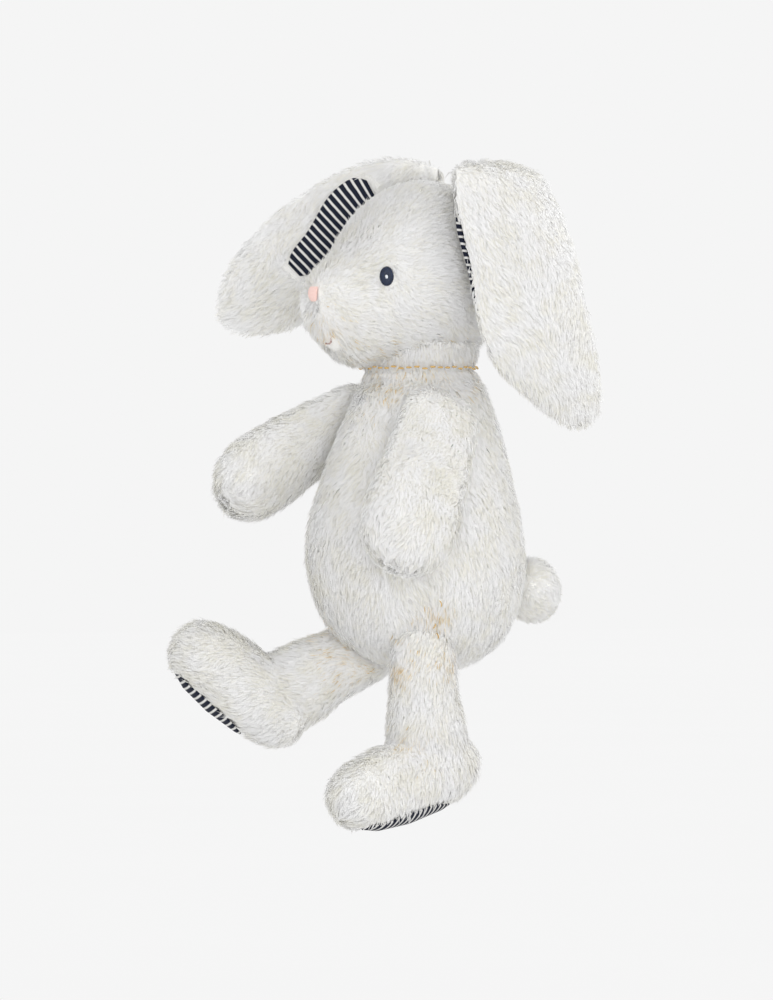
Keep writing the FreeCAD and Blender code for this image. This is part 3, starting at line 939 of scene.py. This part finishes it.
@dataclass
class Head:
    """Round head with a blunt muzzle, sewn eyes, nose and mouth."""

    table: tuple = ((48.0, 11.0, 10.0, 278.0), (43.0, 24.0, 22.0, 278.0), (34.0, 35.0, 33.0, 278.0),
                    (20.0, 43.0, 41.0, 278.0), (3.0, 46.5, 45.0, 278.0), (-13.0, 45.0, 42.0, 275.0),
                    (-26.0, 40.0, 37.0, 270.5), (-38.0, 31.5, 30.0, 263.0),
                    (-48.0, 23.5, 23.0, 262.0), (-55.0, 17.0, 16.5, 262.0),
                    (-58.5, 9.0, 8.5, 262.0))
    eye: tuple[float, float, float] = (32.8, -35.0, 275.5)
    eye_turn: float = 43.0
    eye_half: tuple[float, float] = (3.7, 4.9)
    nose: tuple[float, float, float] = (0.0, -58.6, 267.0)
    nose_half: tuple[float, float] = (4.6, 3.4)
    eye_stitches: int = 64
    nose_rows: int = 17

    def build(self, finishes: Finishes) -> None:
        """Build the skin, its pile, its fill and the face."""
        form = Form.plain(self.table, "yzxz")
        skin = form.skin(BACKING_INSET).build("head_skin", [finishes.backing])
        place_piece(skin, "head", "plush", "head_plush")
        # painted shade under the muzzle, under the chin and where the head meets the neck
        crease_shades = (CreaseShade((8.0, -56.0, 249.0), 9.0, 0.35), CreaseShade((28.0, 0.0, 240.0), 9.0, 0.2),
                  CreaseShade((10.0, -25.0, 236.0), 12.0, 0.3))
        pile = Pile(37, Flow((0.0, 0.6, -0.35), self.nose, 0.8), density=2.2, rise=2.5,
                    reach=4.2, crease_shades=crease_shades)
        bare = np.vstack([self.eye_centres(), self.nose_points(), self.mouth_points(0.0)])
        place_piece(pile.grow("head_pile", skin, finishes.strands, bare, 3.6), "head", "plush")
        make_fill("head_fill", form.skin(FILL_INSET), "head", "head_stuffing", finishes)
        for side, word in ((1, "left"), (-1, "right")):
            self.sew_eye(side, word, finishes)
        self.sew_nose(finishes)
        self.sew_mouth(finishes)

    def eye_axes(self, side: int) -> tuple[np.ndarray, np.ndarray, np.ndarray]:
        """Middle of an eye, the way it faces and its level direction."""
        angle = math.radians(self.eye_turn)
        outward = np.array([side * math.cos(angle), -math.sin(angle), 0.0])
        level = np.array([math.sin(angle), side * math.cos(angle), 0.0])
        return np.array([side * self.eye[0], self.eye[1], self.eye[2]]), outward, level

    def eye_centres(self) -> np.ndarray:
        """Points along both eyes, for keeping the pile off them."""
        found = []
        for side in (1, -1):
            middle, outward, _ = self.eye_axes(side)
            found += [middle + outward * k + np.array([0, 0, h]) for k in (-2, 0, 2, 4)
                      for h in (-1.6, 0.0, 1.6)]
        return np.array(found)

    def nose_points(self) -> np.ndarray:
        """Points along the nose."""
        return np.array([np.array(self.nose) + (x, 0.0, 0.0) for x in (-2.0, 0.0, 2.0)])

    def mouth_points(self, lift: float) -> np.ndarray:
        """Points along the mouth's stitches, lifted off the muzzle by the given height."""
        angle = np.concatenate([math.radians(200 + 28 * k) + np.linspace(-0.22, 0.22, 5)
                                for k in range(6)])
        upward = np.array([0.0, -0.64, 0.77])
        outward = np.array([0.0, -0.77, -0.64])
        middle = np.array([0.0, -52.0, 246.5]) + outward * lift
        return (middle + np.outer(6.0 * np.cos(angle), [1.0, 0.0, 0.0])
                + np.outer(4.5 * np.sin(angle), upward))

    def sew_eye(self, side: int, word: str, finishes: Finishes) -> None:
        """Satin stitches from an eye's middle to its rim, over a low pad, and its glint."""
        middle, outward, level = self.eye_axes(side)
        upright = np.array([0.0, 0.0, 1.0])
        paths = []
        for number in range(self.eye_stitches):
            angle = number * 2 * math.pi / self.eye_stitches
            reach = np.linspace(0.16, 1.0, 8)[:, None]
            rim = (level * math.cos(angle) * self.eye_half[0]
                   + upright * math.sin(angle) * self.eye_half[1])
            rise = 1.0 + 1.3 * np.sqrt(np.clip(1 - reach ** 2.4, 0, 1))
            paths.append(middle + rim * reach + outward * rise)
        item = stitches(paths, 0.3, 5).build("eye_%s_stitches" % word, [finishes.navy])
        place_piece(item, "head", "navy_thread", "eye_%s" % word)
        glint = []
        for offset in (-0.35, 0.0, 0.35):
            span = np.linspace(-0.85, 0.85, 6)[:, None]
            glint.append(middle + outward * (2.65 - 0.3 * span ** 2) + upright * (span - 0.3)
                         + level * (offset + 0.3))
        item = stitches(glint, 0.26).build("eye_%s_light" % word, [finishes.white])
        place_piece(item, "head", "white_thread", "eye_%s_glint" % word)

    def sew_nose(self, finishes: Finishes) -> None:
        """Level satin stitches in a soft three-cornered patch."""
        paths = []
        for number in range(self.nose_rows):
            height = -1 + 2 * number / (self.nose_rows - 1)
            swell = math.sqrt(max(0.0, 1 - (height - 0.25) ** 2 / 1.6))
            half = self.nose_half[0] * (0.45 + 0.55 * swell)
            span = np.linspace(-1, 1, 9)[:, None]
            bow = np.array([0.0, 1.0, 0.0]) * (0.6 * span ** 2 + 0.8 * height ** 2 - 1.0)
            paths.append(np.array(self.nose) + np.array([half, 0.0, 0.0]) * span
                         + np.array([0.0, 0.0, self.nose_half[1] * height]) + bow)
        item = stitches(paths, 0.34).build("nose_stitches", [finishes.pink])
        place_piece(item, "head", "pink_thread", "nose")

    def sew_mouth(self, finishes: Finishes) -> None:
        """A short back-stitched arc under the muzzle."""
        points = self.mouth_points(1.2)
        paths = [points[k * 5:k * 5 + 5] for k in range(len(points) // 5)]
        item = stitches(paths, 0.45).build("mouth_stitches", [finishes.rose])
        place_piece(item, "head", "rose_thread", "mouth")


@dataclass
class Ear:
    """Flat drooping plush lobe with a striped lining on its inner side."""

    word: str
    form: Form
    lined_side: int
    first_lined: float
    seed: int
    last_lined: float = 9.0
    lined_from: tuple[float, float] = (-0.74, -0.74)
    lined_to: tuple[float, float] = (0.74, 0.74)

    @classmethod
    def left(cls) -> "Ear":
        """The ear that droops at the side."""
        table = ((27.2, 13, 319, 105, 40, 11, 2.5), (38, 16.5, 328, 95, 5, 18.5, 5.5),
                 (50.5, 18, 324, 80, -45, 24, 6), (57, 18.3, 313, 72, -75, 26.5, 6),
                 (61.5, 20, 301, 70, -85, 28, 6), (65.5, 24, 280, 70, -90, 28.5, 6),
                 (67, 27, 261, 70, -90, 29, 6), (67.5, 31.5, 245, 70, -90, 29, 6),
                 (67.5, 36.9, 231, 70, -90, 26.5, 6), (67.5, 45, 219, 70, -90, 20, 5.5),
                 (67.5, 51.5, 209, 70, -90, 13, 4.5), (67.5, 54, 203.5, 70, -90, 6, 3))
        rows = np.array(table, float)
        compass, slope = np.radians(rows[:, 3]), np.radians(rows[:, 4])
        zero = np.zeros(len(rows))
        long_ways = np.stack([np.cos(compass), np.sin(compass), zero], 1)
        level = np.stack([np.sin(compass), -np.cos(compass), zero], 1)
        run = level * np.cos(slope)[:, None] + np.stack([zero, zero, np.sin(slope)], 1)
        return cls("left", Form(rows[:, :3], long_ways, np.cross(run, long_ways), rows[:, 5:]),
                   -1, 3.2, 51, 9.0, (-1.04, -0.8), (0.7, 0.7))

    @classmethod
    def right(cls) -> "Ear":
        """The ear that droops forward."""
        table = ((-14, 327, 0, 10, 6, 2.5), (-4, 328, 2, 2, 8, 4.5), (8, 327, 5, -8, 10.5, 5.5),
                 (19, 322, 9, -25, 14.5, 6), (31, 312.5, 12, -40, 20, 6),
                 (44.5, 299.5, 14, -44, 25, 6), (58, 286.5, 14, -44, 27, 6),
                 (72, 273.5, 14, -42, 25.5, 6), (84, 264, 14, -40, 20, 5.5),
                 (92, 258.5, 14, -38, 13, 4), (96.5, 255.5, 14, -38, 6, 2.5))
        rows = np.array(table, float)
        compass = math.radians(230.0)
        level = np.array([math.cos(compass), math.sin(compass), 0.0])
        behind = np.array([math.sin(compass), -math.cos(compass), 0.0])
        slope = np.radians(rows[:, 3])
        upright = np.array([0.0, 0.0, 1.0])
        run = np.outer(np.cos(slope), level) + np.outer(np.sin(slope), upright)
        middles = (np.array([-25.0, 12.0, 0.0]) + np.outer(rows[:, 0], level)
                   + np.outer(rows[:, 2], behind) + np.outer(rows[:, 1], upright))
        long_ways = np.cross(run, behind)
        return cls("right", Form(middles, long_ways, np.cross(run, long_ways), rows[:, 4:]),
                   1, 3.2, 67, 6.45, (-0.66, -0.2), (0.78, 0.42))

    def lining(self) -> Patch:
        """The striped sheet that covers most of the lobe's inner side."""
        steps = 6
        middles, long_ways, faces, halves = self.form.fine(steps)
        first, last = int(self.first_lined * steps), int(self.last_lined * steps)
        cut = slice(first, last + 1)
        count = last - first + 1
        ends = np.sqrt(np.clip(1 - np.linspace(-1, 1, count) ** 10, 0.3, 1))
        across = np.linspace(-1, 1, 19)
        ease = 0.5 + 0.5 * np.tanh(np.linspace(-2.2, 2.2, count))
        start = self.lined_from[0] + ease * (self.lined_from[1] - self.lined_from[0])
        end = self.lined_to[0] + ease * (self.lined_to[1] - self.lined_to[0])
        end = end + 0.05 * np.sin(np.linspace(0, 11, count))
        reach = (start + end)[:, None] / 2 + across[None, :] * ((end - start) / 2 * ends)[:, None]
        puff = np.sqrt(np.clip(1 - reach ** 2, 0, 1)) * halves[cut, 1:2] - BACKING_INSET + 1.8
        outward = np.repeat((faces[cut] * self.lined_side)[:, None], len(across), 1)
        aside = (reach * halves[cut, :1])[..., None]
        rows = (middles[cut][:, None] + long_ways[cut][:, None] * aside
                + outward * puff[..., None])
        return Patch(rows, outward)

    def build(self, finishes: Finishes) -> None:
        """Build the lobe, its pile and its lining."""
        body = "ear_" + self.word
        skin = self.form.skin(BACKING_INSET, 6, 64).build(body + "_skin", [finishes.backing])
        place_piece(skin, body, "plush", body + "_plush")
        lining = self.lining()
        cloth = lining.build(body + "_cloth", finishes.stripes, skin.name)
        place_piece(cloth, body, "striped_cotton", body + "_lining")
        run = tuple(self.form.middles[-1] - self.form.middles[2])
        pile = Pile(self.seed, Flow(tuple(unit(np.array(run)))), density=2.1)
        bare = lining.rows[:, 1:-1].reshape(-1, 3)
        hair = pile.grow(body + "_pile", skin, finishes.strands, bare, 2.8)
        place_piece(hair, body, "plush")


@dataclass
class Arm:
    """Tapered arm, flat where it is sewn to the shoulder."""

    side: int
    swing: float
    seed: int
    length_share: float = 1.0
    girth: float = 1.0
    table: tuple = ((0.0, 8.0, 2.5, 3.2), (-4.0, 13.0, 5.0, 5.7), (-14.0, 17.5, 8.5, 9.2),
                    (-34.0, 19.5, 13.0, 13.7), (-55.0, 21.5, 16.0, 16.7),
                    (-76.0, 22.5, 18.5, 19.2), (-90.0, 19.5, 16.5, 19.2),
                    (-98.0, 13.0, 11.0, 19.2), (-102.0, 5.5, 5.0, 19.2))

    def build(self, finishes: Finishes) -> None:
        """Build the skin, its pile and its fill."""
        tilt, turn = math.radians(20.0), math.radians(-12.6)
        outward = np.array([self.side * math.cos(tilt) * math.cos(turn),
                            math.cos(tilt) * math.sin(turn), math.sin(tilt)])
        down = unit(np.array([0.0, 0.0, -1.0]) + outward * outward[2])
        spin = np.array(Matrix.Rotation(math.radians(-self.side * self.swing), 3, Vector(outward)))
        upward = -(spin @ down)
        frame_turn = np.stack([outward, np.cross(upward, outward), upward], 1)
        seam = np.array([self.side * 33.2, -6.0, 207.0])
        rings = [(at * self.length_share, wide * self.girth, deep, off)
                 for at, wide, deep, off in self.table]
        form = Form.plain(rings, "zyxx", seam + upward * 10.0, frame_turn)
        body = "arm_left" if self.side > 0 else "arm_right"
        skin = form.skin(BACKING_INSET).build(body + "_skin", [finishes.backing])
        place_piece(skin, body, "plush", body + "_plush")
        pile = Pile(self.seed, Flow(tuple(-upward)), density=2.1)
        place_piece(pile.grow(body + "_pile", skin, finishes.strands), body, "plush")
        make_fill(body + "_fill", form.skin(FILL_INSET), body, body + "_stuffing", finishes)


@dataclass
class Leg:
    """Leg and foot sewn as one, with a striped sole."""

    side: int
    splay: float
    swing: float
    seed: int
    pitch: float
    foot_share: float
    sole_half: tuple[float, float]
    sole_aside: float
    crease_shades: tuple[CreaseShade, ...] = ()
    shank: tuple = ((17.0, 7.0, 6.5, 0.0), (13.0, 12.5, 11.5, 0.0), (7.0, 16.0, 14.5, 0.0),
                    (-5.0, 17.5, 16.0, 0.0), (-22.0, 18.5, 17.0, 0.5), (-40.0, 21.5, 19.0, 2.0),
                    (-61.0, 20.0, 17.5, 3.0))
    foot: tuple = ((29.0, 8.5, 8.0, 0.0), (24.5, 15.0, 14.5, 0.0), (16.0, 19.0, 18.5, 0.0),
                   (0.0, 21.5, 21.0, 0.0), (-20.0, 22.0, 21.0, 0.0), (-38.0, 21.0, 19.0, 0.5),
                   (-50.5, 16.0, 14.5, 1.0), (-56.5, 8.5, 8.0, 1.0))
    sole_middle: float = -20.0

    def placed(self) -> tuple[np.ndarray, np.ndarray, np.ndarray, np.ndarray]:
        """Where the hip and the foot's own origin lie, and how each is turned."""
        turn = turn_z(self.side * self.splay) @ turn_x(-self.swing)
        hip = np.array([self.side * 27.0, -11.0, 90.0])
        return hip, turn, hip + turn @ np.array([0.0, 0.0, -61.0]), turn @ turn_x(self.pitch)

    def foot_rings(self) -> np.ndarray:
        """Rings of the foot at this leg's own foot length."""
        rings = np.array(self.foot)
        rings[:, 0] *= self.foot_share
        return rings

    def sole(self, origin: np.ndarray, turn: np.ndarray) -> Patch:
        """The oval striped sheet under the foot."""
        table = self.foot_rings()[::-1]
        along = np.linspace(-0.97, 0.97, 34)
        across = np.linspace(-1, 1, 17)
        y = self.sole_middle + along * self.sole_half[1]
        half = self.sole_half[0] * np.sqrt(1 - along ** 2)
        wide, deep, middle = (np.interp(y, table[:, 0], table[:, k]) for k in (1, 2, 3))
        x = half[:, None] * across + self.sole_aside
        drop = deep[:, None] * np.sqrt(np.clip(1 - (x / wide[:, None]) ** 2, 0.02, 1))
        z = middle[:, None] - drop + BACKING_INSET - 1.9
        rows = np.stack([x, np.repeat(y[:, None], len(across), 1), z], 2) @ turn.T + origin
        outward = np.broadcast_to(turn @ np.array([0.0, 0.0, -1.0]), rows.shape)
        return Patch(rows, outward)

    def build(self, finishes: Finishes) -> None:
        """Build the skin, its pile, its sole and its fill."""
        body = "leg_left" if self.side > 0 else "leg_right"
        hip, turn, ankle, foot_turn = self.placed()
        shank = Form.plain(self.shank, "zyxy", hip, turn)
        foot = Form.plain(self.foot_rings(), "yxzz", ankle, foot_turn)
        skin = merged(body + "_skin", [shank.skin(BACKING_INSET), foot.skin(BACKING_INSET)], 1.7,
                      [finishes.backing])
        place_piece(skin, body, "plush", body + "_plush")
        sole = self.sole(ankle, foot_turn)
        cloth = sole.build(body + "_cloth", finishes.stripes, skin.name)
        place_piece(cloth, body, "striped_cotton", body + "_sole")
        down = turn @ np.array([0.0, -0.35, -1.0])
        pile = Pile(self.seed, Flow(tuple(down)), density=2.1, crease_shades=self.crease_shades)
        bare = sole.rows[1:-1, 1:-1].reshape(-1, 3)
        hair = pile.grow(body + "_pile", skin, finishes.strands, bare, 3.0)
        place_piece(hair, body, "plush")
        inside = shank.skin(FILL_INSET).joined(foot.skin(FILL_INSET))
        make_fill(body + "_fill", inside, body, body + "_stuffing", finishes)


@dataclass
class Tail:
    """Short round tail."""

    table: tuple = ((57.0, 6.5, 4.0, 119.0), (60.0, 11.5, 9.0, 119.0), (65.0, 15.0, 12.5, 119.0),
                    (72.0, 15.0, 13.0, 119.0), (77.0, 11.0, 9.5, 119.0), (80.0, 5.5, 5.0, 119.0))

    def build(self, finishes: Finishes) -> None:
        """Build the skin, its pile and its fill."""
        form = Form.plain(self.table, "yzxz")
        skin = form.skin(1.2).build("tail_skin", [finishes.backing])
        place_piece(skin, "tail", "plush", "tail_plush")
        pile = Pile(83, Flow((0.0, 0.8, -0.2)), rise=2.4, reach=3.0, density=2.4)
        place_piece(pile.grow("tail_pile", skin, finishes.strands), "tail", "plush")
        make_fill("tail_fill", form.skin(4.5), "tail", "tail_stuffing", finishes)


# ---------------------------------------------------------------- studio

@dataclass
class Studio:
    """Pale floor, soft lights and the camera."""

    ground: str = "F5F5F5"
    azimuth: float = 60.0
    distance: float = 6.0
    picture_height: float = 0.5
    sensor: float = 36.0
    aim: tuple[float, float, float] = (0.0003, 0.0005, 0.1643)
    floor_half: float = 9000.0
    floor_height: float = -14.0

    def build(self) -> None:
        """Build the stage, the lights and the camera."""
        scene = bpy.context.scene
        scene.view_settings.view_transform = "Standard"
        scene.cycles.max_bounces = 16
        scene.cycles.diffuse_bounces = 12
        self.make_floor()
        world = bpy.data.worlds.new("studio")
        scene.world = world
        world.use_nodes = True
        background = world.node_tree.nodes["Background"]
        background.inputs[0].default_value = linear(self.ground)
        background.inputs[1].default_value = 1.0
        self.make_light("key", (2.5, -1.1, 0.12), 1.6, 41.0)
        self.make_light("fill", (1.6, 1.4, 1.2), 2.4, 7.0)
        self.make_camera()

    def make_floor(self) -> None:
        """A wide pale floor under the toy."""
        half, height = self.floor_half, self.floor_height
        points = np.array([[-half, -half, height], [half, -half, height], [half, half, height],
                           [-half, half, height]])
        shader = Shader("studio_floor")
        speck = shader.noise(3.0)
        glow = shader.mix(speck, linear(self.ground), linear("F6F6F6"))
        light = shader.add("ShaderNodeEmission", {}, {"Color": glow, "Strength": 1.0})
        shader.tree.links.new(light.outputs[0], shader.output.inputs[0])
        floor = Surface(points, [(0, 1, 2, 3)]).build("floor", [shader.material], False)

    def make_light(self, name: str, place: tuple[float, float, float], size: float,
                   power: float) -> None:
        """One large soft lamp that faces the toy.

        Args:
            name: the lamp's name.
            place: where it stands, in metres.
            size: its width.
            power: its power in watts.
        """
        data = bpy.data.lights.new(name, "AREA")
        data.size = size
        data.energy = power
        lamp = bpy.data.objects.new(name, data)
        bpy.context.scene.collection.objects.link(lamp)
        lamp.location = place
        aim = Vector(self.aim) - Vector(place)
        lamp.rotation_euler = aim.to_track_quat("-Z", "Y").to_euler()

    def make_camera(self) -> None:
        """A long lens, level with the toy's middle."""
        data = bpy.data.cameras.new("camera")
        data.sensor_width = self.sensor
        data.lens = data.sensor_width * self.distance / self.picture_height
        data.clip_end = 100.0
        camera = bpy.data.objects.new("camera", data)
        bpy.context.scene.collection.objects.link(camera)
        angle = math.radians(self.azimuth)
        back = Vector((math.sin(angle), -math.cos(angle), 0.0))
        camera.location = Vector(self.aim) + back * self.distance
        camera.rotation_euler = (-back).to_track_quat("-Z", "Y").to_euler()
        bpy.context.scene.camera = camera


def main() -> None:
    """Build the toy and its studio, logging each part as it is done."""
    logging.basicConfig(level=logging.INFO, format="%(message)s")
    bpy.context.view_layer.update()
    finishes = Finishes.make()
    # painted warm shade in the creases at the hips and at the near ankle
    near_crease_shades = (CreaseShade((30.0, -24.0, 84.0), 8.0, 0.5), CreaseShade((34.0, -4.0, 84.0), 7.0, 0.4),
                   CreaseShade((36.0, -22.0, 42.0), 8.0, 0.3))
    far_crease_shades = (CreaseShade((-26.0, -22.0, 96.0), 12.0, 0.5), CreaseShade((-14.0, -30.0, 84.0), 10.0, 0.5))
    parts = [
        Trunk(), Neck(), Head(), Ear.left(), Ear.right(),
        Arm(1, 23.0, 101, 1.03, 1.1), Arm(-1, 51.0, 113, 0.93),
        Leg(1, 10.0, 0.0, 127, 17.0, 1.0, (13.5, 27.0), 3.4, near_crease_shades),
        Leg(-1, 20.0, 66.0, 139, 30.0, 0.9, (10.5, 23.0), 0.0, far_crease_shades),
        Tail()]
    for part in parts:
        part.build(finishes)
        log.info("%s is done", type(part).__name__)
    Studio().build()


if __name__ == "__main__":
    main()
